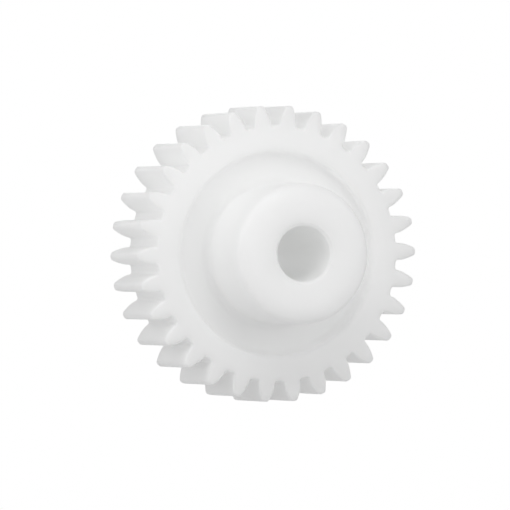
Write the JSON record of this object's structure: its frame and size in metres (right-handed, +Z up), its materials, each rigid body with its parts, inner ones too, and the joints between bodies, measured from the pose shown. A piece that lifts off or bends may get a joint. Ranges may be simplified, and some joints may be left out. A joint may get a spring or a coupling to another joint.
{
  "type": "spur gear",
  "caption": "Moulded white plastic spur gear with straight involute teeth, recessed web, plain shaft bore and a long hub on one side.",
  "frame": {"origin": "on the gear's axis, in the middle of the face width", "axes": "the gear turns about Y, its hub points towards -Y, +Z is up and +X is to the right seen from the hub side"},
  "size_m": [0.032, 0.017, 0.032],
  "materials": {
    "acetal": "natural white injection-moulded acetal, satin and slightly translucent"
  },
  "bodies": {
    "root": {"toothed_rim": "acetal", "web": "acetal", "hub": "acetal"}
  },
  "joints": []
}
